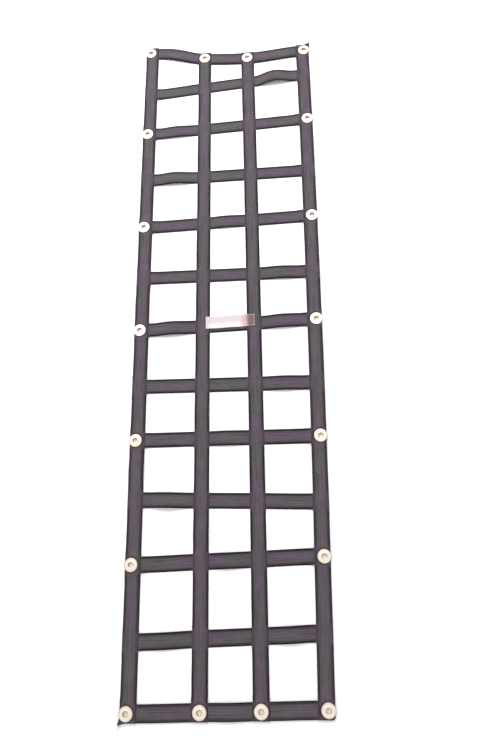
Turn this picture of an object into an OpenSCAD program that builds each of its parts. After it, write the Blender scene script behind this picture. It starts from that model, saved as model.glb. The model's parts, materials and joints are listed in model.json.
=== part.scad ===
// Cargo climbing net: four lengthwise straps sewn over thirteen cross straps,
// lying as it was thrown down, on the ground plane Z = 0.
// X runs across the net, +Y points to its head and +Z is up.
// The origin is at the middle of the bottom of its box.

/* [Webbing] */
// Width of every strap
strap_w = 50.8; // [38:0.1:61]
// Thickness of one layer of webbing
strap_t = 2.4; // [1.6:0.1:3]

/* [Grid] */
// Cross strap to cross strap, centre to centre
bay_length = 203.2; // [170:0.1:260]
// Left edge strap to the inner left strap, centre to centre
left_bay = 218; // [160:1:280]
// Inner left strap to the inner right strap, centre to centre
middle_bay = 179; // [140:1:240]
// Inner right strap to the right edge strap, centre to centre
right_bay = 207; // [160:1:280]

/* [Lay] */
// How far the head strap sags toward the foot between its corners
head_sag = 30; // [0:1:36]
// Height of the arch where the second cross strap stands off the ground
arch_h = 18; // [0:1:50]
// Largest turn of the net at one fold line, in degrees
fold_angle = 150; // [90:1:152]

/* [Grommets] */
// Hole through the grommet
hole_d = 18; // [12:0.5:20]
// Outside diameter of the front flange
flange_d = 44; // [36:0.5:48]
// Outside diameter of the washer at the back
washer_d = 40; // [34:0.5:44]
// Height of the domed front flange
flange_h = 2; // [1.4:0.1:3]
// Thickness of the washer at the back
washer_t = 1.2; // [0.8:0.1:2]
// Wall of the grommet's barrel
barrel_t = 0.8; // [0.5:0.1:1.2]
// How far the side grommets sit outward of their strap's centre line
grommet_out = 6; // [0:0.5:8]

/* [Label] */
// Width of the label's ribbon, along the net
label_w = 50; // [30:1:56]
// Where the label starts, to the right of the inner left strap's centre line
label_left = 12; // [-20:1:20]
// Where the label ends, to the right of the inner right strap's centre line
label_right = 4; // [-20:1:20]
// Thickness of the ribbon
label_t = 0.8; // [0.4:0.1:1]
// How far the label stands past the cross strap, toward the head
label_past = 9; // [4:1:12]

/* [Hidden] */
rungs = 13;
foot = rungs - 1;
head = 0;
middle_rung = 6;
label_rung = middle_rung;
arched_rung = 1;
inner_left = 1;
inner_right = 2;
edges = [0, 3];
columns = [0 : 3];

// How the net lies: each cross strap's left and right end, moved toward the foot
rung_lay = [
    [10, 56], [10, -30], [-5, -25], [0, 0], [0, -10], [5, 10], [5, -10],
    [10, 15], [-5, -5], [-10, 5], [-10, -30], [15, -10], [10, -5]
];
// Each lengthwise strap's drift to the right, from the middle to the foot, and its bow
column_drift = [0, 0, 6, -9];
column_bow = [-3, 0, 4, 9];

column_place = [0, left_bay, left_bay + middle_bay, left_bay + middle_bay + right_bay];
half_w = strap_w / 2;
hole_r = hole_d / 2;
flange_r = flange_d / 2;
washer_r = washer_d / 2;
barrel_r = hole_r + barrel_t;
fabric_hole_r = barrel_r + 0.25;
roll_gap = 0.05;

// Layers, from the ground up: washers, backing, cross straps, lengthwise straps, flanges
backing_z = washer_t;
rung_z = backing_z + strap_t;
upright_z = rung_z + strap_t;
flange_z = upright_z + strap_t;

// Where strap c lies at cross strap r, before the origin is moved to the box's middle
function raw_x(r, c) =
    let (t = r / foot)
    column_place[c] + column_drift[c] * (2 * t - 1) + column_bow[c] * 4 * t * (1 - t);
function raw_y(r, c) =
    let (across = column_place[c] / column_place[3])
    let (sag = r == head && (c == inner_left || c == inner_right) ? head_sag : 0)
    -r * bay_length - rung_lay[r][0] * (1 - across) - rung_lay[r][1] * across - sag;

has_grommets = [for (r = [head : foot]) r % 2 == 0];
side_reach = grommet_out + flange_r;
left_end = min([for (r = [head : foot])
    raw_x(r, edges[0]) - (has_grommets[r] ? max(half_w, side_reach) : half_w)]);
right_end = max([for (r = [head : foot])
    raw_x(r, edges[1]) + (has_grommets[r] ? max(half_w, side_reach) : half_w)]);
head_end = max([for (c = columns) raw_y(head, c)]) + half_w;
foot_end = min([for (c = columns) raw_y(foot, c)]) - half_w;
middle = [(left_end + right_end) / 2, (head_end + foot_end) / 2];

function cross_x(r, c) = raw_x(r, c) - middle.x;
function cross_y(r, c) = raw_y(r, c) - middle.y;

// Centre line of cross strap r at x, and of lengthwise strap c at y
function rung_y(r, x) = lookup(x, [for (c = columns) [cross_x(r, c), cross_y(r, c)]]);
function column_x(c, y) = lookup(y, [for (r = [foot : -1 : head]) [cross_y(r, c), cross_x(r, c)]]);

// Bay b lies between cross straps b and b + 1. Its fold line runs midway between their edges.
function fold_y(b) =
    let (above = min([for (c = columns) cross_y(b, c)]) - half_w)
    let (below = max([for (c = columns) cross_y(b + 1, c)]) + half_w)
    (above + below) / 2;
// The bays beside the middle cross strap fold up and over, and from there outward to the head
// and to the foot every second bay folds the other way, as when the net is stacked in a Z-fold
function folds_over(b) = (b < middle_rung ? middle_rung - 1 - b : b - middle_rung) % 2 == 0;
fold_z = rung_z + strap_t / 2;
fold_gap = 0.8;

// Corners of strap c's stretch on body r at one end: the net's own end or a fold line
function end_corners(r, c, top) =
    let (at_end = top ? r == head : r == foot)
    let (y = at_end ? cross_y(r, c) : fold_y(top ? r - 1 : r))
    let (x = column_x(c, y))
    [for (side = [-half_w, half_w])
        [x + side, at_end ? rung_y(r, x + side) + (top ? half_w : -half_w) : y]];
function upright_outline(r, c) =
    let (upper = end_corners(r, c, true))
    let (lower = end_corners(r, c, false))
    let (x = cross_x(r, c))
    let (y = cross_y(r, c))
    [upper[0], [x - half_w, y], lower[0], lower[1], [x + half_w, y], upper[1]];

function rung_stations(r) = concat(
    [cross_x(r, edges[0]) - half_w],
    [for (c = columns) cross_x(r, c)],
    [cross_x(r, edges[1]) + half_w]);
function rung_outline(r) =
    let (xs = rung_stations(r))
    concat([for (x = xs) [x, rung_y(r, x) + half_w]],
           [for (i = [len(xs) - 1 : -1 : 0]) [xs[i], rung_y(r, xs[i]) - half_w]]);

function grommet_columns(r) = r == head || r == foot ? [0, 1, 2, 3] : has_grommets[r] ? edges : [];
function grommet_place(r, c) =
    [cross_x(r, c) + (c == edges[0] ? -grommet_out : c == edges[1] ? grommet_out : 0), cross_y(r, c)];

// Height of the arched cross strap above its layer, at a share u of the arch's span
function arch_rise(u) = arch_h * pow(sin(180 * u), 2);
arch_steps = 24;
// Flat stretch between each end of the arch and the strap beside it
arch_gap = 2;

webbing_colour = [0.17, 0.14, 0.17];
brass_colour = [0.93, 0.87, 0.68];
label_colour = [0.93, 0.88, 0.88];
$fn = 48;

function two_digits(n) = n < 10 ? str("0", n) : str(n);
function row_name(kind, r) = str(kind, "_", two_digits(r + 1));
grommet_rows = [for (r = [head : foot]) if (has_grommets[r]) r];

// Holes for the grommets of cross strap r, through every layer
module grommet_holes(r) {
    for (c = grommet_columns(r))
        translate(grommet_place(r, c))
            cylinder(r = fabric_hole_r, h = flange_z + 1);
}

// Room for the layers to turn at the fold line of bay b: a slit with a V on the inner side
module fold_relief(b) {
    reach = flange_z;
    slope = tan(fold_angle / 2);
    half_gap = fold_gap / 2;
    length = right_end - left_end + 2;
    translate([-length / 2, fold_y(b), fold_z])
        rotate([90, 0, 90])
            mirror([0, folds_over(b) ? 0 : 1, 0])
                linear_extrude(length)
                    polygon([
                        [-half_gap, -reach], [half_gap, -reach], [half_gap, 0],
                        [half_gap + reach * slope, reach], [-half_gap - reach * slope, reach],
                        [-half_gap, 0]
                    ]);
}

// Straps of one layer on body r, holed for grommets and cut free at the fold lines
module lengthwise_layer(r, layer_columns, z) {
    color(webbing_colour)
        difference() {
            for (c = layer_columns)
                translate([0, 0, z])
                    linear_extrude(strap_t)
                        polygon(upright_outline(r, c));
            grommet_holes(r);
            if (r > head)
                fold_relief(r - 1);
            if (r < foot)
                fold_relief(r);
        }
}

module uprights(r) {
    lengthwise_layer(r, columns, upright_z);
}

module border_backing(r) {
    lengthwise_layer(r, edges, backing_z);
}

// The side view of the arched cross strap: flat, with one wave between two uprights
module arch_side_view(r) {
    start = cross_x(r, inner_right) + half_w + arch_gap;
    span = cross_x(r, edges[1]) - half_w - arch_gap - start;
    wave = [for (i = [0 : arch_steps]) [start + span * i / arch_steps, arch_rise(i / arch_steps)]];
    under = concat([[cross_x(r, edges[0]) - strap_w, 0]], wave, [[cross_x(r, edges[1]) + strap_w, 0]]);
    polygon(concat(under, [for (i = [len(under) - 1 : -1 : 0]) under[i] + [0, strap_t]]));
}

module rung(r) {
    color(webbing_colour)
        difference() {
            if (r == arched_rung && arch_h > 0)
                intersection() {
                    linear_extrude(rung_z + arch_h + 2 * strap_t)
                        polygon(rung_outline(r));
                    translate([0, -middle.y, rung_z])
                        rotate([90, 0, 0])
                            linear_extrude(rungs * bay_length)
                                arch_side_view(r);
                }
            else
                translate([0, 0, rung_z])
                    linear_extrude(strap_t)
                        polygon(rung_outline(r));
            grommet_holes(r);
        }
}

// Strip behind the first or last cross strap, between the two border backings
module end_backing(r) {
    color(webbing_colour)
        difference() {
            translate([0, 0, backing_z])
                linear_extrude(strap_t)
                    difference() {
                        polygon(rung_outline(r));
                        for (c = edges) {
                            polygon(upright_outline(r, c));
                            translate([cross_x(r, c), cross_y(r, c)])
                                square([strap_w, 2 * strap_w], center = true);
                        }
                    }
            grommet_holes(r);
        }
}

// Half section of an eyelet: straight barrel, rolled mouth and a domed flange
module eyelet_section() {
    mouth_r = flange_h / 2;
    dome_w = flange_r - hole_r - mouth_r;
    mouth = [for (a = [180 : -15 : 90])
        [hole_r + mouth_r * (1 + cos(a)), flange_z + flange_h - mouth_r + mouth_r * sin(a)]];
    dome = [for (a = [75 : -15 : 0])
        [hole_r + mouth_r + dome_w * cos(a), flange_z + flange_h * sin(a)]];
    polygon(concat([[hole_r, 0]], mouth, dome, [[barrel_r, flange_z], [barrel_r, washer_t],
        [barrel_r + washer_t, 0]]));
}

module eyelets(r) {
    color(brass_colour)
        for (c = grommet_columns(r))
            translate(grommet_place(r, c))
                rotate_extrude()
                    eyelet_section();
}

// Washer with a chamfered hole, which the barrel's end is rolled into
module washers(r) {
    color(brass_colour)
        for (c = grommet_columns(r))
            translate(grommet_place(r, c))
                rotate_extrude()
                    polygon([
                        [barrel_r + washer_t + roll_gap, 0], [washer_r, 0],
                        [washer_r, washer_t], [barrel_r + roll_gap, washer_t]
                    ]);
}

// Ribbon sewn over the cross strap, with its ends on the inner uprights
module label() {
    left = cross_x(label_rung, inner_left) + label_left;
    right = cross_x(label_rung, inner_right) + label_right;
    rise = rung_y(label_rung, right) - rung_y(label_rung, left);
    past_y = half_w + label_past;
    color(label_colour)
        translate([left, rung_y(label_rung, left), flange_z])
            rotate([0, 0, atan2(rise, right - left)])
                translate([0, past_y - label_w])
                    cube([right - left, label_w, label_t]);
}

for (r = [head : foot]) rung(r);
for (r = [head : foot]) uprights(r);
for (r = [head : foot]) border_backing(r);
for (r = grommet_rows) eyelets(r);
for (r = grommet_rows) washers(r);
end_backing(head);  // head_backing
end_backing(foot);  // foot_backing
label();
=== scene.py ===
# %% [markdown]
# # A cargo climbing net, thrown down on a white floor
# The real net is nothing but flat webbing and grommets: thirteen cross straps, four lengthwise
# straps sewn on top of them, a second layer behind the border, and eighteen brass grommets.
# The CAD model holds it as flat slabs cut at twelve fold lines. This lesson turns the slabs into
# woven straps that dip, wave and bend, with stitches, spun grommets and a ribbon label.

# %% Tools and the fixed frame
import json
import math

import bpy
import numpy as np
from mathutils import Matrix, Vector


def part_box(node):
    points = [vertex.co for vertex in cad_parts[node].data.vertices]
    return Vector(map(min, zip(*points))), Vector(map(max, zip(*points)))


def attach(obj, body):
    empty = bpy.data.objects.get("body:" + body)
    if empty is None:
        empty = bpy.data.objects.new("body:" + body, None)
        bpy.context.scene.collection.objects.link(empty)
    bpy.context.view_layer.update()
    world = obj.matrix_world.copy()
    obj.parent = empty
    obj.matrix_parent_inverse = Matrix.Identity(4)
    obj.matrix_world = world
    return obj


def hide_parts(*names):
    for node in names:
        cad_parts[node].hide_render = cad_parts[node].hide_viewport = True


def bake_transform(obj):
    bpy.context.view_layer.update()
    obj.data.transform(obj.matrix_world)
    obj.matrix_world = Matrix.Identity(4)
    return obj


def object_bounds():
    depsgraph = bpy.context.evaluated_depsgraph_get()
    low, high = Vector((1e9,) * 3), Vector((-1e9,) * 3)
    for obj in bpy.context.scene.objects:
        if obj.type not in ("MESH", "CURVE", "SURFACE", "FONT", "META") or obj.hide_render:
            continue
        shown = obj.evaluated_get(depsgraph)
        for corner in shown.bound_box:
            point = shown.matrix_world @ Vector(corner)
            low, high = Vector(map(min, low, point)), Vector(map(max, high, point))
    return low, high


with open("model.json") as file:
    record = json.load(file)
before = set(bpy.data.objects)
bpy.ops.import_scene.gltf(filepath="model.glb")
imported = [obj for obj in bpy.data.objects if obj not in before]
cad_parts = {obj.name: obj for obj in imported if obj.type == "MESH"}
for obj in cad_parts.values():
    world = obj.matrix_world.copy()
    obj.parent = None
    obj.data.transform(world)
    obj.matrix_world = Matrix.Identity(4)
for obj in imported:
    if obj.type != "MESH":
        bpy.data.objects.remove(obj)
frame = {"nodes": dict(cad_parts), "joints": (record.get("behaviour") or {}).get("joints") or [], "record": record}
cad_low, cad_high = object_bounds()
print("CAD box, m:", tuple(cad_high - cad_low))

# %% [markdown]
# The camera comes first, so that every later look is judged from the right place. It hangs
# 1.9 m over the foot half of the net and looks down toward the head, a little to the left. Its
# direction is given as where it looks and which way is up, and a matrix is built from the two.

# %% The camera over the foot of the net
CAMERA_HEIGHT = 1.933
CAMERA_RIGHT = 0.2439
CAMERA_FROM_FOOT = 0.5235
LOOK = Vector((-0.0843, 0.2714, -0.9588))
UP = Vector((0.0377, 0.9624, 0.2691))
camera_data = bpy.data.cameras.new("camera")
camera_data.lens = 28.1
camera_data.sensor_width = 36.0
camera = bpy.data.objects.new("camera", camera_data)
bpy.context.collection.objects.link(camera)
right = LOOK.cross(UP).normalized()
up = right.cross(LOOK).normalized()
turn = Matrix((right, up, -LOOK.normalized())).transposed().to_4x4()
place = Vector((CAMERA_RIGHT, cad_low.y + CAMERA_FROM_FOOT, CAMERA_HEIGHT))
camera.matrix_world = Matrix.Translation(place) @ turn
bpy.context.scene.camera = camera
bpy.context.scene.view_settings.view_transform = "Standard"

# %% [markdown]
# Everything is measured from the CAD nodes. A cross strap's outline has corners above and below
# its centre line, exactly one strap width apart, so the line is read back from the corners. A
# lengthwise strap is read where the fold lines cut it, where its two sides have corners.

# %% Reading the layout from the frame
ROWS = range(1, 14)
BAYS = range(1, 13)
COLUMNS = range(4)
HEAD_ROW, ARCHED_ROW, LABEL_ROW, FOOT_ROW = 1, 2, 7, 13
LEFT_EDGE, INNER_LEFT, INNER_RIGHT, RIGHT_EDGE = COLUMNS
EDGES = (LEFT_EDGE, RIGHT_EDGE)
GROMMET_ROWS = range(1, 14, 2)
MM = 0.001


def size_of(node):
    low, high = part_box(node)
    return high - low


def points_of(node):
    mesh = frame["nodes"][node].data
    points = np.empty(len(mesh.vertices) * 3)
    mesh.vertices.foreach_get("co", points)
    return points.reshape(-1, 3)


STRAP_WIDTH = min(size_of(f"rung_{row:02d}").y for row in ROWS)
LAYER = size_of("rung_04").z
WASHER = size_of("washers_01").z
LAYERS_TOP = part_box("uprights_01")[1].z
fold_lines = {int(joint["name"][-2:]): joint for joint in frame["joints"]}


SAME_PLACE, NEAR_FOLD = 0.2 * MM, 6 * MM


def rung_line(row):
    """The cross strap's centre line, as two lists: x and y at each corner of its outline."""
    stations = {}
    for x, y, _ in points_of(f"rung_{row:02d}"):
        stations.setdefault(round(x, 4), []).append(y)
    found = sorted((x, (min(ys) + max(ys)) / 2) for x, ys in stations.items()
                   if abs(max(ys) - min(ys) - STRAP_WIDTH) < SAME_PLACE)
    return [x for x, _ in found], [y for _, y in found]


def columns_at_fold(bay):
    """Where the four lengthwise straps cross the bay's fold line."""
    y = fold_lines[bay]["pos_m"][1]
    cut = [p for p in points_of(f"uprights_{bay:02d}") if abs(p[1] - y) < NEAR_FOLD]
    sides = sorted({round(p[0], 4) for p in cut})
    return [(sides[2 * c] + sides[2 * c + 1]) / 2 for c in COLUMNS]


rung_lines = {row: rung_line(row) for row in ROWS}
column_lines = {}
for column in COLUMNS:
    if column in EDGES:
        end, inward = (0, 1) if column == LEFT_EDGE else (-1, -1)
        line = [(ys[end], xs[end] + inward * STRAP_WIDTH / 2) for xs, ys in rung_lines.values()]
    else:
        line = [(fold_lines[bay]["pos_m"][1], columns_at_fold(bay)[column]) for bay in BAYS]
    column_lines[column] = sorted(line)


def rung_y(row, x):
    return np.interp(x, *rung_lines[row])


def column_x(column, y):
    return np.interp(y, *zip(*column_lines[column]))


def crossing(row, column):
    """The point where two straps cross, found in two steps because each line leans a little."""
    y = rung_y(row, 0)
    for _ in range(2):
        x = column_x(column, y)
        y = rung_y(row, x)
    return float(x), float(y)


crossings = {(row, c): crossing(row, c) for row in ROWS for c in COLUMNS}
print("strap", round(STRAP_WIDTH / MM, 1), "mm wide,", round(LAYER / MM, 1), "mm thick")
print("head corners at", crossings[HEAD_ROW, LEFT_EDGE], crossings[HEAD_ROW, RIGHT_EDGE])

# %% [markdown]
# Webbing is a sandwich here, and each layer rests on the one below. A grommet's washer lifts the
# border a little at its rows, an inner crossing lies on the floor, and between two crossings a
# strap sinks until it meets the floor or the layer behind it. These heights are the middle of
# each layer, so that every strap can be laid by its centre line.

# %% How high each layer lies
FABRIC = 0.94 * LAYER
ON_FLOOR = LAYER / 2
ON_WASHER = WASHER + LAYER / 2
FLAT_REACH = STRAP_WIDTH / 2 + 2 * MM
SINK_REACH = 30 * MM


def has_grommet(row, column):
    return row in GROMMET_ROWS and (column in EDGES or row in (HEAD_ROW, FOOT_ROW))


def backing_height(row, column):
    return ON_WASHER if has_grommet(row, column) else ON_FLOOR


def rung_height(row, column):
    layers_below = 1 if column in EDGES or row in (HEAD_ROW, FOOT_ROW) else 0
    return backing_height(row, column) + layers_below * LAYER


def smooth(t):
    t = np.clip(t, 0, 1)
    return t * t * (3 - 2 * t)


def heights(along, crossings_here, between):
    """Height over a strap: flat at each crossing, sinking to `between` away from it."""
    height = np.full(len(along), between)
    for place, level in crossings_here:
        near = 1 - smooth((np.abs(along - place) - FLAT_REACH) / SINK_REACH)
        height = height + (level - between) * near
    return height


def bump(along, start, end, rise, rising=0.45, falling=0.52):
    """One soft wave that starts and ends level; its sides take these shares of its length."""
    t = np.clip((along - start) / (end - start), 0, 1)
    return rise * smooth(t / rising) * smooth((1 - t) / falling)

# %% [markdown]
# Every strap starts as the same thing: a flat blank of webbing. A grid is stretched to the strap's
# width, given its thickness with a Solidify modifier, and its four long corners are bevelled,
# since woven edges are never sharp. The blank is one unit long, and its rows of points are
# later moved onto the strap's own line. That keeps the weave's UV map in real metres.

# %% A flat blank of webbing
def deselect_all():
    bpy.ops.object.select_all(action="DESELECT")


def only(obj):
    deselect_all()
    obj.select_set(True)
    bpy.context.view_layer.objects.active = obj


def apply_modifiers(obj):
    only(obj)
    for modifier in list(obj.modifiers):
        bpy.ops.object.modifier_apply(modifier=modifier.name)


TINY = 1e-6


def webbing_blank(name, width, thickness, across, along):
    deselect_all()
    bpy.ops.mesh.primitive_grid_add(x_subdivisions=across, y_subdivisions=along, size=1)
    blank = bpy.context.object
    blank.name = name
    for vertex in blank.data.vertices:
        vertex.co = (vertex.co.x * width, vertex.co.y + 0.5, 0)
    solid = blank.modifiers.new("thickness", "SOLIDIFY")
    solid.thickness = thickness
    solid.offset = 0
    apply_modifiers(blank)
    mesh = blank.data
    bpy.ops.object.mode_set(mode="EDIT")
    bpy.ops.mesh.select_mode(type="EDGE")
    bpy.ops.mesh.select_all(action="DESELECT")
    bpy.ops.object.mode_set(mode="OBJECT")
    rim = width / 2 - TINY
    for edge in mesh.edges:
        a, b = (mesh.vertices[i].co for i in edge.vertices)
        lengthwise = abs(a.y - b.y) > TINY and abs(a.z - b.z) < TINY
        edge.select = bool(lengthwise and min(abs(a.x), abs(b.x)) > rim)
    bpy.ops.object.mode_set(mode="EDIT")
    bpy.ops.mesh.bevel(offset=0.4 * thickness, segments=2, affect="EDGES")
    bpy.ops.object.mode_set(mode="OBJECT")
    bpy.ops.object.shade_smooth_by_angle(angle=math.radians(50))
    blank.hide_render = True
    return blank


RUNG_STEPS, BAY_STEPS = 200, 96
rung_blank = webbing_blank("rung_blank", STRAP_WIDTH, FABRIC, 10, RUNG_STEPS)
bay_blank = webbing_blank("bay_blank", STRAP_WIDTH, FABRIC, 10, BAY_STEPS)
print("blanks:", len(rung_blank.data.polygons), "and", len(bay_blank.data.polygons), "faces")

# %% [markdown]
# Laying a strap means moving each row of the blank's points to its place on a line, with the
# row turned square to the line and, where the strap leans, rolled about it. Sewing needs the same
# three directions later, so they are worked out in a function of their own.

# %% Which way a strap faces along its line
def unit(rows):
    return rows / np.linalg.norm(rows, axis=1, keepdims=True)


def facing(line, roll=None):
    """The strap's forward, sideways and upward direction at each point of its line."""
    forward = unit(np.gradient(line, axis=0))
    side = unit(np.cross(forward, [0.0, 0.0, 1.0]))
    normal = np.cross(side, forward)
    if roll is not None:
        c, s = np.cos(roll)[:, None], np.sin(roll)[:, None]
        side, normal = side * c + normal * s, normal * c - side * s
    return forward, side, normal


def run_along(line):
    """How far along the line each of its points lies."""
    steps = np.linalg.norm(np.diff(line, axis=0), axis=1)
    return np.concatenate([[0], np.cumsum(steps)])

# %% [markdown]
# No two corners of a used net are alike. A table gives each of the four its radius, where the
# cloth is rounded in, or how far its tip is pulled outward and lifted off the floor.

# %% Shaping the net's corners
CORNERS = {
    (HEAD_ROW, LEFT_EDGE): (20 * MM, 0, 0), (HEAD_ROW, RIGHT_EDGE): (0, 7 * MM, 5 * MM),
    (FOOT_ROW, LEFT_EDGE): (0, 8 * MM, 0), (FOOT_ROW, RIGHT_EDGE): (11 * MM, 0, 0)
}
PULL_REACH, DIAGONAL = 24 * MM, 0.7


def shape_corners(points):
    """Round or pull the cloth near the net's four corners."""
    for (row, column), (radius, pull, lift) in CORNERS.items():
        x, y = crossings[row, column]
        outward = np.array([-1 if column == LEFT_EDGE else 1, 1 if row == HEAD_ROW else -1])
        corner = np.array([x, y]) + outward * STRAP_WIDTH / 2
        if radius:
            centre = corner - outward * radius
            away = (points[:, :2] - centre) * outward
            reach = np.linalg.norm(away, axis=1)
            beyond = (away > 0).all(axis=1) & (reach > radius)
            shrink = radius / reach[beyond, None]
            points[beyond, :2] = centre + away[beyond] * outward * shrink
        if pull:
            near = 1 - smooth(np.linalg.norm(points[:, :2] - corner, axis=1) / PULL_REACH)
            points[:, :2] += near[:, None] ** 2 * outward * pull * DIAGONAL
            points[:, 2] += near ** 2 * lift
    return points

# %% [markdown]
# The cloth's colour changes with its place: it is more purple at the sewn crossings, its edges take
# painted shade away from them, and painted shadow darkens it round each grommet's rim. How bare it is
# and how much grommet shadow it takes are stored at the mesh's points as attributes, so they stay on the cloth
# when the net folds.

# %% Marking bare cloth and painted grommet shadow
BARE_FROM, BARE_SOFT = 0.45 * STRAP_WIDTH, 12 * MM
# how far the painted shadow round a grommet's rim reaches, and how softly it fades
GROMMET_SHADE_TO, GROMMET_SHADE_SOFT = 21 * MM, 9 * MM
mounts = frame["record"]["mounts"]


def mark(mesh, name, values):
    attribute = mesh.attributes.new(name, "FLOAT", "POINT")
    attribute.data.foreach_set("value", values)


# these marks drive a purple tint at the crossings, painted shade on the strap edges and painted shadow round the
# grommets
def mark_tint_and_shade(mesh, points):
    """`bare` is 1 away from the crossings, and the painted grommet shadow is 1 round a grommet."""
    places = np.array(list(crossings.values()))
    far = np.abs(points[:, None, :2] - places[None]).max(axis=2).min(axis=1)
    mark(mesh, "bare", smooth((far - BARE_FROM) / BARE_SOFT))
    holes = np.array([mount["pos_m"][:2] for mount in mounts])
    reach = np.linalg.norm(points[:, None, :2] - holes[None], axis=2).min(axis=1)
    # painted shadow round each grommet's rim, stored at the points
    mark(mesh, "pressed", 1 - smooth((reach - GROMMET_SHADE_TO) / GROMMET_SHADE_SOFT))

# %% [markdown]
# Now a strap can be laid. The crown makes its middle stand a hair higher than its edges, as thick
# webbing does, and the UV map runs in metres across the strap and along it.

# %% Laying a strap along a line
CROWN = 0.12 * MM


def lay(blank, name, line, roll=None, crown=CROWN, uv_start=0.0):
    """A copy of the blank on the line. Returns the strap and the line's length."""
    strap = bpy.data.objects.new(name, blank.data.copy())
    bpy.context.collection.objects.link(strap)
    _, side, normal = facing(line, roll)
    mesh = strap.data
    flat = np.empty(len(mesh.vertices) * 3)
    mesh.vertices.foreach_get("co", flat)
    flat = flat.reshape(-1, 3)
    row = np.rint(flat[:, 1] * (len(line) - 1)).astype(int)
    lift = flat[:, 2] + crown * (1 - (flat[:, 0] / (STRAP_WIDTH / 2)) ** 2)
    placed = line[row] + side[row] * flat[:, :1] + normal[row] * lift[:, None]
    placed = shape_corners(placed)
    mesh.vertices.foreach_set("co", placed.ravel())
    run = run_along(line)
    uv = mesh.uv_layers.new(name="metres")
    corners = np.empty(len(mesh.loops), int)
    mesh.loops.foreach_get("vertex_index", corners)
    coords = np.stack([flat[corners, 0], run[row[corners]] + uv_start], axis=1)
    uv.data.foreach_set("uv", coords.ravel())
    mesh.uv_layers.active = uv
    mark_tint_and_shade(mesh, placed)
    mesh.update()
    return strap, float(run[-1])

# %% [markdown]
# A grommet's hole goes through every layer behind it. One set of eighteen pins is the cutter for
# all of them, and an exact Boolean takes it out of each strap that has a grommet.

# %% Punching the grommets' holes
HOLE_RADIUS = mounts[0]["dims"]["r_mm"] * MM
PUNCH_ROOM, PUNCH_DEPTH, PUNCH_SIDES = 1.2 * MM, 40 * MM, 28


def grommet_punch(name, radius):
    """Pins through all the grommets, joined to one object."""
    deselect_all()
    pins = []
    for mount in mounts:
        bpy.ops.mesh.primitive_cylinder_add(
            vertices=PUNCH_SIDES, radius=radius, depth=PUNCH_DEPTH, location=mount["pos_m"])
        pins.append(bpy.context.object)
    for pin in pins:
        pin.select_set(True)
    bpy.ops.object.join()
    bpy.ops.object.transform_apply(location=True)
    punch = bpy.context.object
    punch.name = name
    punch.hide_render = True
    return punch


punch = grommet_punch("punch", HOLE_RADIUS + PUNCH_ROOM)


def punch_holes(strap):
    cut = strap.modifiers.new("holes", "BOOLEAN")
    cut.operation = "DIFFERENCE"
    cut.solver = "EXACT"
    cut.object = punch
    apply_modifiers(strap)

# %% [markdown]
# One corner of the foot has begun to fray. A loose yarn is a Bezier curve with a round bevel, made
# a mesh at once, and its few copies are one fringe attached to the foot row's body.

# %% Loose yarns at the worn corner
YARN_RADIUS = 0.35 * MM


def loose_yarn(start, middle, end):
    """A thin tube along one bent curve, capped at both ends."""
    deselect_all()
    bpy.ops.curve.primitive_bezier_curve_add()
    curve = bpy.context.object
    for point, at in zip(curve.data.splines[0].bezier_points, (start, end)):
        point.co = at
    first, last = curve.data.splines[0].bezier_points
    first.handle_left, first.handle_right = start, middle
    last.handle_left, last.handle_right = middle, end
    curve.data.bevel_depth = YARN_RADIUS
    curve.data.bevel_resolution = 1
    curve.data.resolution_u = 14
    curve.data.use_fill_caps = True
    bpy.ops.object.convert(target="MESH")
    return bpy.context.object


TIP_OUT, TIP_HEIGHT = STRAP_WIDTH / 2 + 1 * MM, 0.9 * MM
corner_x, corner_y = crossings[FOOT_ROW, LEFT_EDGE]
tip = Vector((corner_x - TIP_OUT, corner_y - TIP_OUT, TIP_HEIGHT))
inside = tip + Vector((4, 4, 0.4)) * MM
yarns = []
for lean, length in ((-4, 23), (3, 15), (-9, 12)):
    knee = tip + Vector((lean * 0.9, -length * 0.4, 1.5)) * MM
    end = tip + Vector((lean, -length, -0.3)) * MM
    yarns.append(loose_yarn(inside, knee, end))
deselect_all()
for yarn in yarns:
    yarn.select_set(True)
bpy.ops.object.join()
bpy.ops.object.transform_apply(location=True, rotation=True, scale=True)
fray = bpy.context.object
fray.name = "frayed_corner_yarns"
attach(fray, f"row_{FOOT_ROW:02d}")
print("frayed yarns:", len(fray.data.polygons), "faces")

# %% [markdown]
# The thirteen cross straps are laid first. Each one follows the CAD outline's centre line from edge
# to edge. A thrown-down net is never quite flat, so some cells' straps bow off the floor: the list
# gives the row, the cell from 0 at the left, and the rise, with one tall arch in the second row.

# %% The line of a cross strap
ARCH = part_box(f"rung_{ARCHED_ROW:02d}")[1].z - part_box("rung_04")[1].z
BOWS = {
    (ARCHED_ROW, 2): ARCH, (4, 0): 10 * MM, (7, 0): 11 * MM, (7, 2): 8 * MM, (10, 0): 13 * MM,
    (12, 2): 8 * MM, (6, 2): 6 * MM, (9, 1): 5 * MM, (3, 0): 6 * MM, (5, 1): 4 * MM,
    (11, 1): 6 * MM, (8, 2): 7 * MM, (12, 0): 5 * MM, (1, 0): 5 * MM, (13, 1): 4 * MM
}
EDGE_TUCK = 1.0 * MM


def curve_through(at, places, values):
    """A soft curve through a few points: Hermite pieces whose slopes are the neighbours' mean."""
    places, values = np.array(places, float), np.array(values, float)
    slopes = np.gradient(values, places)
    i = np.clip(np.searchsorted(places, at) - 1, 0, len(places) - 2)
    gap = places[i + 1] - places[i]
    t = np.clip((at - places[i]) / gap, 0, 1)
    t2, t3 = t * t, t * t * t
    return ((2 * t3 - 3 * t2 + 1) * values[i] + (t3 - 2 * t2 + t) * gap * slopes[i]
            + (3 * t2 - 2 * t3) * values[i + 1] + (t3 - t2) * gap * slopes[i + 1])


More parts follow.
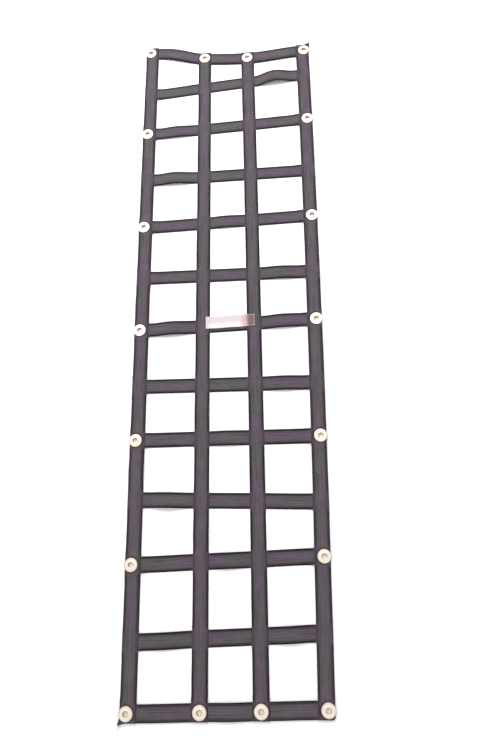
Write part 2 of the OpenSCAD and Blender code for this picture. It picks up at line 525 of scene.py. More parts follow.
def rung_centre_line(row):
    xs, ys = rung_lines[row]
    x = np.linspace(xs[0] + EDGE_TUCK, xs[-1] - EDGE_TUCK, RUNG_STEPS)
    corner_x = [xs[0]] + [crossings[row, c][0] for c in COLUMNS] + [xs[-1]]
    corner_y = [rung_y(row, at) for at in corner_x]
    y = curve_through(x, corner_x, corner_y)
    levels = [(crossings[row, c][0], rung_height(row, c)) for c in COLUMNS]
    z = heights(x, levels, ON_WASHER + LAYER if row in (HEAD_ROW, FOOT_ROW) else ON_FLOOR)
    for (bowed_row, cell), rise in BOWS.items():
        if bowed_row == row:
            start, end = crossings[row, cell][0], crossings[row, cell + 1][0]
            z = z + bump(x, start + STRAP_WIDTH / 2, end - STRAP_WIDTH / 2, rise)
    return np.stack([x, y, z], axis=1)

# %% The thirteen cross straps
ROW_SHIFT, COLUMN_SHIFT = 0.137, 0.31  # metres of weave, so that no two straps start alike
webbing_pieces = []
for row in ROWS:
    line = rung_centre_line(row)
    rung, length = lay(rung_blank, f"cross_strap_{row:02d}", line, uv_start=row * ROW_SHIFT)
    if row in GROMMET_ROWS:
        punch_holes(rung)
    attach(rung, f"row_{row:02d}")
    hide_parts(f"rung_{row:02d}")
    webbing_pieces.append(rung)
    if row in (HEAD_ROW, LABEL_ROW, FOOT_ROW):
        print(rung.name, "is", round(length / MM), "mm long")

# %% [markdown]
# A lengthwise strap bends at every fold line, so it can't be one stiff piece. It is laid bay by bay,
# from the middle of one crossing to the middle of the next, where the sewing hides the joint. The
# hinge lies at the top of the cloth, so a fold over can be tight and a fold under needs a wide turn.

# %% Laying one bay of a lengthwise strap
WAVES = {
    (INNER_LEFT, 1): 3, (INNER_RIGHT, 1): 2, (INNER_LEFT, 3): 4, (INNER_RIGHT, 4): 5,
    (INNER_LEFT, 6): 3, (INNER_RIGHT, 7): 4, (INNER_LEFT, 8): 5, (INNER_RIGHT, 9): 3,
    (INNER_LEFT, 10): 6, (INNER_RIGHT, 11): 4, (INNER_LEFT, 12): 3, (INNER_RIGHT, 2): 4,
    (LEFT_EDGE, 6): 4, (RIGHT_EDGE, 7): 5, (LEFT_EDGE, 9): 5, (RIGHT_EDGE, 3): 3
}
LEANS = {
    (INNER_LEFT, 2): 5, (INNER_RIGHT, 3): -4, (INNER_LEFT, 5): -5, (INNER_RIGHT, 6): 4,
    (INNER_LEFT, 8): 4, (INNER_RIGHT, 10): -5, (INNER_LEFT, 11): 5, (INNER_RIGHT, 12): 4
}


def bay_line(column, bay, behind=False):
    """The centre line of one bay of a strap, from foot to head, and how far it leans."""
    foot, head = crossings[bay + 1, column][1], crossings[bay, column][1]
    y_start = foot - (STRAP_WIDTH / 2 if bay + 1 == FOOT_ROW else 0)
    y_end = head + (STRAP_WIDTH / 2 if bay == HEAD_ROW else 0)
    y = np.linspace(y_start, y_end, BAY_STEPS)
    knots = sorted((crossings[row, column][1], crossings[row, column][0]) for row in ROWS)
    x = curve_through(y, [k[0] for k in knots], [k[1] for k in knots])
    steps_up = 0 if behind else LAYER
    between = ON_FLOOR + (steps_up if column in EDGES else 0)
    levels = []
    for row in (bay, bay + 1):
        low = backing_height(row, column) if behind else rung_height(row, column) + LAYER
        levels.append((crossings[row, column][1], low))
    z = heights(y, levels, between)
    inner_start, inner_end = foot + STRAP_WIDTH / 2, head - STRAP_WIDTH / 2
    z = z + bump(y, inner_start, inner_end, WAVES.get((column, bay), 0) * MM)
    lean = bump(y, inner_start, inner_end, math.radians(LEANS.get((column, bay), 0)))
    z = z + np.abs(np.sin(lean)) * STRAP_WIDTH / 2
    return np.stack([x, y, z], axis=1), lean


def bend_with(piece):
    """Bakes the piece's placement into its own mesh."""
    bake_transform(piece)

# %% All the bays of the four straps and of the border's backing
run_so_far = {}
for behind in (True, False):
    for column in (EDGES if behind else COLUMNS):
        for bay in reversed(BAYS):
            line, lean = bay_line(column, bay, behind)
            name = ("backing" if behind else "lengthwise") + f"_strap_{column + 1}_bay_{bay:02d}"
            before = run_so_far.get((behind, column), column * COLUMN_SHIFT)
            strap, length = lay(bay_blank, name, line, roll=lean, uv_start=before)
            if has_grommet(bay, column) or has_grommet(bay + 1, column):
                punch_holes(strap)
            run_so_far[behind, column] = before + length
            layer = "border_backing" if behind else "uprights"
            rows_covered = (bay, FOOT_ROW) if bay + 1 == FOOT_ROW else (bay,)
            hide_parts(*(f"{layer}_{row:02d}" for row in rows_covered))
            bend_with(strap)
            webbing_pieces.append(strap)
print(len(webbing_pieces), "straps laid")

# %% [markdown]
# The head and the foot of the net are doubled too. Their backing is cut to fit between the two
# lengthwise border straps, so it is laid exactly as a cross strap is, one layer lower.

# %% The head and foot backing
END_BACKINGS = (("head_backing", HEAD_ROW), ("foot_backing", FOOT_ROW))
BACKING_GAP = 0.5 * MM
for node, row in END_BACKINGS:
    line = rung_centre_line(row)
    start = crossings[row, LEFT_EDGE][0] + STRAP_WIDTH / 2 + BACKING_GAP
    end = crossings[row, RIGHT_EDGE][0] - STRAP_WIDTH / 2 - BACKING_GAP
    x = np.linspace(start, end, RUNG_STEPS)
    y = np.interp(x, line[:, 0], line[:, 1])
    z = np.interp(x, line[:, 0], line[:, 2]) - LAYER
    backing, length = lay(rung_blank, node + "_strap", np.stack([x, y, z], axis=1))
    punch_holes(backing)
    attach(backing, f"row_{row:02d}")
    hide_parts(node)
    webbing_pieces.append(backing)
    print(backing.name, "is", round(length / MM), "mm long")

# %% [markdown]
# Every crossing is sewn with a box and a cross inside it, the usual way to join webbing that
# carries a person, and two rows of sewing hold the border's layers together. One stitch is
# modelled: a six-sided thread that dives into the cloth at both ends. Thousands of copies of it
# are then set out by a point, a direction and a normal each, so the stitch itself stays simple.

# %% One stitch
STITCH, THREAD_RADIUS = 3.4 * MM, 0.5 * MM
DIVE_FORWARD, DIVE_DOWN, DIVE_TAPER = 0.55 * MM, 0.65 * MM, 0.7
NEARLY_FACING = 0.9


def select_facing(mesh, direction):
    for polygon in mesh.polygons:
        polygon.select = polygon.normal.dot(Vector(direction)) > NEARLY_FACING


deselect_all()
bpy.ops.mesh.primitive_cylinder_add(vertices=6, radius=THREAD_RADIUS, depth=STITCH)
stitch = bpy.context.object
stitch.name = "stitch"
bpy.ops.transform.rotate(value=math.pi / 2, orient_axis="Y", center_override=(0, 0, 0))
bpy.ops.object.transform_apply(rotation=True)
for direction in (1, -1):
    bpy.ops.object.mode_set(mode="EDIT")
    bpy.ops.mesh.select_mode(type="FACE")
    bpy.ops.mesh.select_all(action="DESELECT")
    bpy.ops.object.mode_set(mode="OBJECT")
    select_facing(stitch.data, (direction, 0, 0))
    bpy.ops.object.mode_set(mode="EDIT")
    dive = (direction * DIVE_FORWARD, 0, -DIVE_DOWN)
    bpy.ops.mesh.extrude_region_move(TRANSFORM_OT_translate={"value": dive})
    bpy.ops.transform.resize(value=(1, DIVE_TAPER, DIVE_TAPER))
    bpy.ops.object.mode_set(mode="OBJECT")
bpy.ops.object.shade_smooth_by_angle(angle=math.radians(70))
stitch.hide_render = True
print("a stitch has", len(stitch.data.polygons), "faces")

# %% Many copies of one shape in one mesh
def shape_of(obj):
    points = np.array([tuple(v.co) for v in obj.data.vertices])
    return points, [tuple(p.vertices) for p in obj.data.polygons]


def many(name, pattern, places, sharp_from=70):
    """One mesh of copies. A place is a point, the copy's forward direction and its up."""
    points, faces = shape_of(pattern)
    all_points, all_faces = [], []
    for count, (at, forward, above) in enumerate(places):
        basis = np.array([forward, np.cross(above, forward), above])
        all_points.append(np.asarray(at) + points @ basis)
        shift = count * len(points)
        all_faces.extend(tuple(i + shift for i in face) for face in faces)
    mesh = bpy.data.meshes.new(name)
    mesh.from_pydata(np.concatenate(all_points).tolist(), [], all_faces)
    mesh.update()
    made = bpy.data.objects.new(name, mesh)
    bpy.context.collection.objects.link(made)
    only(made)
    bpy.ops.object.shade_smooth_by_angle(angle=math.radians(sharp_from))
    return made

# %% Where the grommets leave no room for sewing
def ring_radius(node, mount):
    """How far a grommet part's own points reach from the axis of its hole."""
    reach = [math.hypot(x - mount["pos_m"][0], y - mount["pos_m"][1]) for x, y, _ in points_of(node)]
    return max(r for r in reach if r < STRAP_WIDTH)


FLANGE_RADIUS = ring_radius("eyelets_01", mounts[0])
WASHER_RADIUS = ring_radius("washers_01", mounts[0])
FLANGE_GAP = FLANGE_RADIUS + 2.2 * MM
print("eyelet rim", round(FLANGE_RADIUS / MM, 1), "mm, washer", round(WASHER_RADIUS / MM, 1), "mm")

# %% A sewn box at every crossing
STITCH_PITCH = 4.6 * MM
SEAM_LIFT = FABRIC / 2 + 0.12 * MM
SEWN_BOX = 20 * MM  # half the box's side


def sewn_line(start, end):
    """Stitches between two points of a flat place: (point, direction) pairs."""
    start, end = np.array(start, float), np.array(end, float)
    length = np.linalg.norm(end - start)
    forward = (end - start) / length
    count = max(1, int(length / STITCH_PITCH))
    return [(start + forward * length * (i + 0.5) / count, forward) for i in range(count)]


def sewn_box(row, column):
    """The places of the stitches of one box with a cross inside it."""
    x, y = crossings[row, column]
    turns = ((-1, -1), (1, -1), (1, 1), (-1, 1))
    corners = [(x + i * SEWN_BOX, y + j * SEWN_BOX) for i, j in turns]
    sides = [(corners[i], corners[(i + 1) % 4]) for i in range(4)]
    sides += [(corners[0], corners[2]), (corners[1], corners[3])]
    level = rung_height(row, column) + LAYER + SEAM_LIFT
    found = []
    for start, end in sides:
        for at, forward in sewn_line(start, end):
            covered = has_grommet(row, column) and math.dist(at, (x, y)) < FLANGE_GAP
            if not covered:
                found.append(((*at, level), (*forward, 0.0), (0.0, 0.0, 1.0)))
    return found


thread_pieces = [fray]
for row in ROWS:
    places = [place for column in COLUMNS for place in sewn_box(row, column)]
    sewing = many(f"sewn_boxes_{row:02d}", stitch, places)
    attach(sewing, f"row_{row:02d}")
    thread_pieces.append(sewing)
print(sum(len(piece.data.polygons) for piece in thread_pieces), "faces of sewing and fringe")

# %% A seam along a strap
def seam_along(line, roll, offset, clear_of=(), lift=SEAM_LIFT):
    """Stitches along a strap's line, offset across it, leaving out what lies near some points."""
    rows_of = (line, *facing(line, roll))
    run = run_along(line)
    found = []
    for at in np.arange(STITCH_PITCH / 2, run[-1], STITCH_PITCH):
        middle, forward, across, above = (
            np.array([np.interp(at, run, rows[:, i]) for i in range(3)]) for rows in rows_of)
        point = middle + across * offset + above * lift
        if all(math.hypot(point[0] - x, point[1] - y) > gap for x, y, gap in clear_of):
            forward = forward / np.linalg.norm(forward)
            above = above - forward * np.dot(above, forward)
            found.append((point, forward, above / np.linalg.norm(above)))
    return found

# %% The seams of the border, the head and the foot
SEAM_OFFSET = STRAP_WIDTH / 2 - 3.8 * MM
BOX_GAP = STRAP_WIDTH / 2 + 8 * MM
for column in EDGES:
    for bay in BAYS:
        line, lean = bay_line(column, bay)
        with_grommet = [row for row in (bay, bay + 1) if has_grommet(row, column)]
        near = [(*crossings[row, column], FLANGE_GAP) for row in with_grommet]
        places = [p for sign in (-1, 1) for p in seam_along(line, lean, sign * SEAM_OFFSET, near)]
        seam = many(f"border_seam_{column + 1}_bay_{bay:02d}", stitch, places)
        bend_with(seam)
        thread_pieces.append(seam)
for node, row in END_BACKINGS:
    line = rung_centre_line(row)
    near = [(*crossings[row, c], BOX_GAP) for c in COLUMNS]
    places = [p for sign in (-1, 1) for p in seam_along(line, None, sign * SEAM_OFFSET, near)]
    seam = many(node.replace("backing", "seam"), stitch, places)
    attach(seam, f"row_{row:02d}")
    thread_pieces.append(seam)
print(len(thread_pieces), "pieces of sewing")

# %% [markdown]
# A grommet is two pressed brass parts. The eyelet comes through from above: a flat rim lies on the
# webbing, and its barrel goes down through the layers and is rolled over the washer behind. Both
# are turned shapes, so half a cross-section is drawn and spun once round the hole's axis. The
# grommets are placed by the record's mounts, which are what a hook or a rope would use.

# %% Spinning the eyelet and its washer
SPIN_STEPS = 44
CLOTH_TOP = LAYERS_TOP + (FABRIC - LAYER) / 2 + 0.1 * MM
LIP_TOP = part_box("eyelets_03")[1].z


def spun(name, profile):
    """A closed ring: the profile's (radius, height) points in mm, spun round the axis."""
    deselect_all()
    bpy.ops.mesh.primitive_circle_add(vertices=len(profile), radius=1, fill_type="NOTHING")
    ring = bpy.context.object
    ring.name = name
    for vertex, (radius, height) in zip(ring.data.vertices, profile):
        vertex.co = (radius * MM, 0, height * MM)
    bpy.ops.object.mode_set(mode="EDIT")
    bpy.ops.mesh.select_all(action="SELECT")
    bpy.ops.mesh.spin(steps=SPIN_STEPS, angle=math.tau, center=(0, 0, 0), axis=(0, 0, 1))
    bpy.ops.mesh.select_all(action="SELECT")
    bpy.ops.mesh.remove_doubles(threshold=TINY)
    bpy.ops.mesh.normals_make_consistent(inside=False)
    bpy.ops.object.mode_set(mode="OBJECT")
    ring.hide_render = True
    return ring


hole, top, lip = HOLE_RADIUS / MM, CLOTH_TOP / MM, LIP_TOP / MM
rim = FLANGE_RADIUS / MM
eyelet_profile = [
    (hole, 1.3), (hole, top), (hole + 0.15, lip - 0.55), (hole + 0.7, lip - 0.12), (hole + 1.5, lip),
    (hole + 2.4, lip - 0.14), (hole + 3.4, lip - 0.55), (hole + 4.6, lip - 0.85), (hole + 7.5, lip - 0.8),
    (hole + 9.5, lip - 0.9), (rim - 2.4, lip - 1.05), (rim - 1.5, lip - 0.95), (rim - 0.7, lip - 1.15),
    (rim - 0.1, lip - 1.55), (rim, top + 0.1), (rim - 0.5, top), (rim - 2, top + 0.05),
    (hole + 3, top + 0.1), (hole + 0.8, top - 0.3), (hole + 0.8, 1.3), (hole + 1.9, 0.55),
    (hole + 2.2, 0.2), (hole + 1.6, 0.05), (hole + 0.6, 0.3)
]
washer_rim = WASHER_RADIUS / MM
washer_profile = [
    (hole + 2.6, 0.15), (washer_rim - 1, 0.0), (washer_rim - 0.2, 0.15), (washer_rim, 0.6),
    (washer_rim - 0.4, 1.05), (washer_rim - 2, 1.15), (hole + 2.4, 1.1), (hole + 1.0, 0.95),
    (hole + 1.0, 0.75), (hole + 2.2, 0.7)
]
eyelet = spun("eyelet", eyelet_profile)
washer = spun("washer", washer_profile)
print(len(mounts), "grommets,", len(eyelet.data.polygons), "faces in an eyelet")

# %% Setting out the grommets row by row
BRASS_SHARP_FROM = 40


def ring_map(part, mounts_here):
    """A UV map of every corner's distance from its own hole's axis, and its height."""
    uv = part.data.uv_layers.new(name="ring")
    coords = []
    for loop in part.data.loops:
        at = part.data.vertices[loop.vertex_index].co
        away = min(math.hypot(at.x - m["pos_m"][0], at.y - m["pos_m"][1]) for m in mounts_here)
        coords += [away, at.z]
    uv.data.foreach_set("uv", coords)


brass_pieces = []
for row in GROMMET_ROWS:
    here = [m for m in mounts if f"_row_{row:02d}_" in m["name"]]
    for pattern, node in ((eyelet, f"eyelets_{row:02d}"), (washer, f"washers_{row:02d}")):
        places = []
        for mount in here:
            x, y, _ = mount["pos_m"]
            turned = 1.7 * x + 2.9 * y
            places.append(((x, y, 0), (math.cos(turned), math.sin(turned), 0), (0, 0, 1)))
        part = many(node.replace("_", "_spun_"), pattern, places, BRASS_SHARP_FROM)
        ring_map(part, here)
        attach(part, f"row_{row:02d}")
        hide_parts(node)
        brass_pieces.append(part)
print(len(brass_pieces), "pieces of brass")

# %% [markdown]
# The label is a soft satin ribbon sewn over the middle window's cross strap. Its ends lie on the
# two inner straps and the rest droops onto the cross strap between them. It is laid like the
# webbing, only thinner, and its own sewing runs round its border.

# %% The ribbon's line
RIBBON_THICKNESS, RIBBON_STEPS = 0.5 * MM, 120
RIBBON_CLEAR = 5 * MM  # how much narrower the ribbon is than its slab
RIBBON_FLOAT, LAP_FLAT, LAP_SOFT = 0.6 * MM, 1 * MM, 22 * MM
PUCKER_FROM_LEFT, PUCKER_FROM_RIGHT, PUCKER = 45 * MM, 48 * MM, 1.8 * MM
label_low, label_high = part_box("label")
label_middle = (label_low + label_high) / 2
label_span = label_high.x - label_low.x
label_tilt = (rung_y(LABEL_ROW, label_high.x) - rung_y(LABEL_ROW, label_low.x)) / label_span
slab_width = label_high.y - label_low.y - abs(label_tilt) * label_span
ribbon_width = slab_width - RIBBON_CLEAR
label_x = np.linspace(label_low.x, label_high.x, RIBBON_STEPS)
label_y = label_middle.y + RIBBON_CLEAR / 2 + label_tilt * (label_x - label_middle.x)
over_strap = ON_FLOOR + 1.5 * LAYER + 2 * RIBBON_THICKNESS
over_rung = ON_FLOOR + 0.5 * LAYER + 2 * RIBBON_THICKNESS + RIBBON_FLOAT
label_z = np.full(RIBBON_STEPS, over_rung)
for column in (INNER_LEFT, INNER_RIGHT):
    away = np.abs(label_x - crossings[LABEL_ROW, column][0]) - STRAP_WIDTH / 2 - LAP_FLAT
    label_z = label_z + (over_strap - over_rung) * (1 - smooth(away / LAP_SOFT))
pucker_start, pucker_end = label_low.x + PUCKER_FROM_LEFT, label_high.x - PUCKER_FROM_RIGHT
label_z = label_z + bump(label_x, pucker_start, pucker_end, PUCKER)
label_line = np.stack([label_x, label_y, label_z], axis=1)

# %% The ribbon and its sewing
RIBBON_CROWN = 0.2 * MM
RIBBON_SEAM_LIFT = RIBBON_THICKNESS / 2 + 0.05 * MM
END_SEAM_LIFT = RIBBON_SEAM_LIFT + 0.15 * MM
END_SEAM_STEP, END_STITCHES = 3, 9
ribbon_blank = webbing_blank("ribbon_blank", ribbon_width, RIBBON_THICKNESS, 12, RIBBON_STEPS)
label, label_length = lay(ribbon_blank, "label_ribbon_piece", label_line, crown=RIBBON_CROWN)
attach(label, f"row_{LABEL_ROW:02d}")
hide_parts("label")
long_seam = ribbon_width / 2 - 3 * MM
places = []
for sign in (-1, 1):
    places += seam_along(label_line, None, sign * long_seam, lift=RIBBON_SEAM_LIFT)
for step in (END_SEAM_STEP, RIBBON_STEPS - 1 - END_SEAM_STEP):
    for offset in np.linspace(-1, 1, END_STITCHES) * (ribbon_width / 2 - 4 * MM):
        at = label_line[step] + np.array([0, offset, END_SEAM_LIFT])
        places.append((at, (0.0, 1.0, 0.0), (0.0, 0.0, 1.0)))
label_sewing = many("label_sewing", stitch, places)
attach(label_sewing, f"row_{LABEL_ROW:02d}")
print("ribbon", round(ribbon_width / MM), "by", round(label_length / MM), "mm")

# %% [markdown]
# Materials are graphs of nodes. To keep the sums readable, a small class wraps one socket, so that
# `a + b` adds an Add node. Everything else, such as noise or a ramp, comes from `node`, which
# takes the node's type, its settings and what goes into its sockets.

# %% A small language for shader graphs
class Value:
    """One output socket. Arithmetic on it adds Math nodes to its graph."""

    def __init__(self, graph, socket):
        self.graph, self.socket = graph, socket

    def math(self, operation, *others):
        inputs = {i: value for i, value in enumerate((self, *others))}
        return self.graph.node("Math", {"operation": operation}, inputs)

    def __add__(self, other):
        return self.math("ADD", other)

    def __mul__(self, other):
        return self.math("MULTIPLY", other)

    def __sub__(self, other):
        return self.math("SUBTRACT", other)

    def __rsub__(self, other):
        return self.graph.node("Math", {"operation": "SUBTRACT"}, {0: other, 1: self})

    __radd__ = __add__
    __rmul__ = __mul__

    def wave(self, pitch):
        """A sine of this length value, from -1 to 1, that repeats every `pitch` metres."""
        return (self * (math.tau / pitch)).math("SINE")

    def over(self, low, high):
        """0 below low, 1 above high, and a soft step between."""
        settings = {"interpolation_type": "SMOOTHSTEP"}
        inputs = {"Value": self, "From Min": low, "From Max": high}
        return self.graph.node("MapRange", settings, inputs)


class Graph:
    """One material's nodes, started from nothing."""

    def __init__(self, name):
        self.material = bpy.data.materials.new(name)
        self.material.use_nodes = True
        self.tree = self.material.node_tree
        self.tree.nodes.clear()

    def node(self, kind, settings, inputs, output=0):
        made = self.tree.nodes.new("ShaderNode" + kind)
        for key, value in settings.items():
            if key == "stops":
                ramp = made.color_ramp
                while len(ramp.elements) < len(value):
                    ramp.elements.new(0.5)
                for element, (position, colour) in zip(ramp.elements, value):
                    element.position = position
                    element.color = (*colour, 1)
            else:
                setattr(made, key, value)
        for key, value in inputs.items():
            if isinstance(value, Value):
                self.tree.links.new(value.socket, made.inputs[key])
            else:
                made.inputs[key].default_value = value
        return Value(self, made.outputs[output])

    def blend(self, factor, a, b):
        """Two colours mixed; constants are given as three numbers."""
        a, b = ((*c, 1) if isinstance(c, tuple) else c for c in (a, b))
        return self.node("Mix", {"data_type": "RGBA"}, {0: factor, 6: a, 7: b}, 2)

    def noise(self, vector, scale, detail=3.0, roughness=0.55):
        inputs = {"Vector": vector, "Scale": scale, "Detail": detail, "Roughness": roughness}
        return self.node("TexNoise", {}, inputs)

    def place(self):
        return self.node("TexCoord", {}, {}, "Object")

    def strip(self, layer):
        """Both coordinates of a UV map that is in metres, as two values."""
        split = self.node("UVMap", {"uv_map": layer}, {})
        return self.node("SeparateXYZ", {}, {0: split}), self.node("SeparateXYZ", {}, {0: split}, 1)

    def bump(self, height, distance, strength):
        return self.node("Bump", {}, {"Height": height, "Distance": distance, "Strength": strength})

    def surface(self, **inputs):
        """The main shader. Underscores in a name stand for spaces."""
        named = {key.replace("_", " "): value for key, value in inputs.items()}
        shader = self.node("BsdfPrincipled", {}, named)
        output = self.tree.nodes.new("ShaderNodeOutputMaterial")
        self.tree.links.new(shader.socket, output.inputs["Surface"])
        return self.material


def wear(pieces, material):
    for piece in pieces:
        piece.data.materials.clear()
        piece.data.materials.append(material)

# %% [markdown]
# Polyester webbing of this weight is a plain weave whose warp runs lengthwise, so it shows fine
# ribs along the strap and small steps across them. Both are sines of the strap's own metres.
# Colour comes in two sizes: each yarn's own tone and tint patches a hand wide where the dye took
# differently. The strap edges carry painted shade, heaviest where they border the floor, the middle is
# painted a little lighter as a highlight on its crown, and painted shadow rings each grommet.

# %% The webbing
YARN_PITCH, PICK_PITCH = 2.2 * MM, 2.6 * MM
SLATE = (0.060, 0.061, 0.060)
PLUM = (0.076, 0.047, 0.080)
ASHY = (0.136, 0.118, 0.133)
# a near-black used both for dark yarn streaks and for painted shade
DARK_YARN_AND_SHADE = (0.0075, 0.0045, 0.0080)


def webbing_material():
    g = Graph("charcoal_webbing")
    across, along = g.strip("metres")
    place = g.place()
    yarns = across.wave(YARN_PITCH)
    picks = along.wave(PICK_PITCH)
    weave = yarns * picks * 0.5 + 0.5
    ribs = across.wave(YARN_PITCH * 4) * 0.5 + 0.5
    patches = g.noise(place, 7.0, 2.0)
    cloudy = g.noise(place, 31.0, 3.0)
    fuzz = g.noise(place, 900.0, 2.0, 0.7)
    bare = g.node("Attribute", {"attribute_name": "bare"}, {}, "Fac")
    pressed = g.node("Attribute", {"attribute_name": "pressed"}, {}, "Fac")
    off_centre = across.math("ABSOLUTE")
    # a band along both sides of the strap that takes painted shade
    edge = off_centre.over(STRAP_WIDTH * 0.25, STRAP_WIDTH * 0.45)
    # painted highlight: the strap's middle is made lighter, as light falls on its crown
    middle = 1 - off_centre.over(STRAP_WIDTH * 0.04, STRAP_WIDTH * 0.26)
    lane = g.node("CombineXYZ", {}, {0: across * 330.0, 1: along * 7.0})
    streaks = g.noise(lane, 1.0, 2.0, 0.6)
    tint = g.blend(patches.over(0.44, 0.58), SLATE, PLUM)
    tint = g.blend(1 - bare, tint, g.blend(0.5, tint, PLUM))
    tint = g.blend(cloudy.over(0.45, 0.75) * 0.4, tint, ASHY)
    # weave, ribs and fuzz are the yarn's own tone; the middle term is the painted highlight
    tint = g.blend(weave * 0.42 + ribs * 0.16 + fuzz * 0.16 + middle * 0.12, tint, ASHY)
    tint = g.blend(streaks.over(0.48, 0.75) * 0.5 + (1 - weave) * 0.22, tint, DARK_YARN_AND_SHADE)
    # painted shade along the strap edges, heaviest on bare cloth beside the floor
    tint = g.blend(edge * (bare * 0.52 + 0.42), tint, DARK_YARN_AND_SHADE)
    # painted shadow round each grommet's rim
    tint = g.blend(pressed * 0.7, tint, DARK_YARN_AND_SHADE)
    height = weave * 0.7 + ribs * 0.25 + fuzz * 0.25
    roughness = 0.78 - weave * 0.14 + cloudy * 0.10
    normal = g.bump(height, 0.9 * MM, 0.9)
    return g.surface(Base_Color=tint, Roughness=roughness, Normal=normal, Sheen_Weight=0.05,
                     Sheen_Roughness=0.5, Specular_IOR_Level=0.14)


wear(webbing_pieces, webbing_material())

# %% [markdown]
# The thread is bonded polyester, a little glossier than the webbing and slightly lighter where
# it catches the light. Its twist is a fine band pattern that runs across each stitch.

# %% The thread
def thread_material(name, dark, light):
    g = Graph(name)
    place = g.place()
    twist = g.noise(place, 1800.0, 1.0)
    batch = g.noise(place, 12.0, 2.0)
    colour = g.blend(twist.over(0.35, 0.7) * 0.6 + batch * 0.3, dark, light)
    return g.surface(Base_Color=colour, Roughness=0.48 + twist * 0.2, Normal=g.bump(twist, 0.2 * MM, 0.7),
                     Specular_IOR_Level=0.5)


wear(thread_pieces, thread_material("charcoal_thread", (0.030, 0.021, 0.032), (0.115, 0.092, 0.112)))
wear([label_sewing], thread_material("pale_thread", (0.62, 0.50, 0.50), (0.86, 0.78, 0.76)))

# %% [markdown]
# The grommets are pale brass. Pressing leaves faint rings round the hole, and tarnish gathers
# where the rim turns down and round the lip. The ring UV holds the distance from the hole's axis, so
# both follow the grommet's own shape.

# %% The brass
def brass_material():
    g = Graph("pale_brass")
    radius, height = g.strip("ring")
    place = g.place()
    rings = radius.wave(0.9 * MM) * 0.5 + 0.5
    stains = g.noise(place, 160.0, 4.0)
    scuffs = g.noise(place, 1100.0, 3.0, 0.7)
    outer = radius.over(FLANGE_RADIUS - 4.2 * MM, FLANGE_RADIUS - 0.3 * MM)
    lip_edge = 1 - radius.over(HOLE_RADIUS + 0.2 * MM, HOLE_RADIUS + 2.2 * MM)
    down = 1 - height.over(LIP_TOP - 3.2 * MM, LIP_TOP - 1.7 * MM)
    tarnish = (outer * 0.75 + lip_edge * 0.35) * (stains * 0.6 + 0.45) + down * 0.5
    colour = g.blend(tarnish.math("MINIMUM", 1.0), (0.80, 0.745, 0.62), (0.33, 0.195, 0.065))
    colour = g.blend(stains.over(0.5, 0.8) * 0.3, colour, (0.70, 0.60, 0.44))
    roughness = 0.30 + stains * 0.12 + rings * 0.05 + scuffs * 0.08
    normal = g.bump(rings * 0.3 + scuffs * 0.5, 0.12 * MM, 0.5)
    return g.surface(Base_Color=colour, Roughness=roughness, Normal=normal, Metallic=0.85)


wear(brass_pieces, brass_material())

# %% [markdown]
# The ribbon is a satin with a pale ground. One end turns red and then dark, and the other has only
# a faint blush. It is plain apart from two thin woven lines, so that it stands for any label.

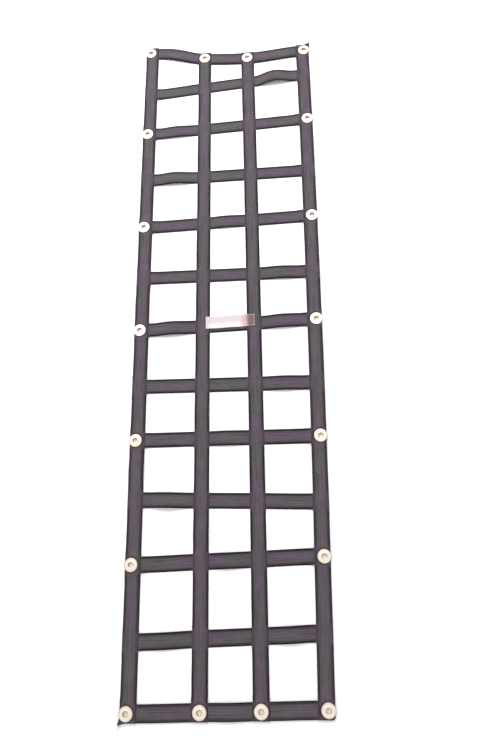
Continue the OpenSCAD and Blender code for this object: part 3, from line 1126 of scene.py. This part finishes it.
# %% The ribbon
def ribbon_material():
    g = Graph("label_satin")
    across, along = g.strip("metres")
    place = g.place()
    ribs = across.wave(0.9 * MM) * 0.5 + 0.5
    picks = along.wave(1.1 * MM) * 0.5 + 0.5
    cloudy = g.noise(place, 60.0, 3.0)
    wobble = (cloudy - 0.5) * 0.012
    blush = (along + wobble).over(label_length - 62 * MM, label_length - 36 * MM)
    far_end = (along + wobble).over(label_length - 38 * MM, label_length - 22 * MM)
    near_end = 1 - (along + wobble).over(4 * MM, 26 * MM)
    lines = 1 - (across.math("ABSOLUTE") - 9 * MM).math("ABSOLUTE").over(0.8 * MM, 1.6 * MM)
    lines = lines * along.over(38 * MM, 44 * MM) * (1 - along.over(108 * MM, 114 * MM))
    bright = across.over(2 * MM, 8 * MM)
    colour = g.blend(cloudy.over(0.35, 0.7), (0.49, 0.46, 0.475), (0.54, 0.47, 0.51))
    colour = g.blend(bright * 0.8, colour, (0.72, 0.66, 0.70))
    colour = g.blend(near_end * 0.6, colour, (0.50, 0.34, 0.42))
    colour = g.blend(blush * 0.85, colour, (0.52, 0.25, 0.26))
    colour = g.blend(far_end * 0.93, colour, (0.062, 0.025, 0.031))
    colour = g.blend(lines * 0.3, colour, (0.30, 0.29, 0.33))
    colour = g.blend(ribs * picks * 0.12, colour, (0.96, 0.92, 0.92))
    normal = g.bump(ribs * 0.6 + picks * 0.5, 0.2 * MM, 0.6)
    return g.surface(Base_Color=colour, Roughness=0.5 + cloudy * 0.15, Normal=normal, Sheen_Weight=0.2,
                     Specular_IOR_Level=0.4)


wear([label], ribbon_material())

# %% [markdown]
# The floor is plain white and the light comes softly from all round, so that the floor washes
# out and only a breath of shadow is left under what stands up from it. One large soft lamp hangs
# beyond the head of the net, so the webbing looks paler there and deepens toward the foot.

# %% The floor and the light
def floor_material():
    g = Graph("white_floor")
    grain = g.noise(g.place(), 3.0, 2.0)
    colour = g.blend(grain, (0.90, 0.885, 0.89), (0.92, 0.905, 0.91))
    return g.surface(Base_Color=colour, Roughness=0.9, Specular_IOR_Level=0.1)


deselect_all()
bpy.ops.mesh.primitive_plane_add(size=14)
floor = bpy.context.object
floor.name = "floor"
wear([floor], floor_material())
world = bpy.data.worlds.new("studio")
world.use_nodes = True
sky = world.node_tree.nodes["Background"]
sky.inputs["Color"].default_value = (1.0, 0.985, 0.995, 1)
sky.inputs["Strength"].default_value = 1.05
bpy.context.scene.world = world
lamp_data = bpy.data.lights.new("soft_lamp", "AREA")
lamp_data.energy = 88
lamp_data.shape = "RECTANGLE"
lamp_data.size, lamp_data.size_y = 2.4, 2.0
lamp = bpy.data.objects.new("soft_lamp", lamp_data)
lamp.location = (-0.5, 1.9, 2.6)
lamp.rotation_euler = (math.radians(-20), math.radians(-8), 0.0)
bpy.context.collection.objects.link(lamp)

# %% [markdown]
# The blanks and patterns have done their work and are removed, and the CAD box is printed in mm.
# The straps may stand only a little proud of the slabs.

# %% Putting the patterns away and measuring
for pattern in (rung_blank, bay_blank, ribbon_blank, punch, stitch, eyelet, washer):
    bpy.data.objects.remove(pattern)
print("CAD box, mm:", [round((b - a) / MM, 1) for a, b in zip(cad_low, cad_high)])
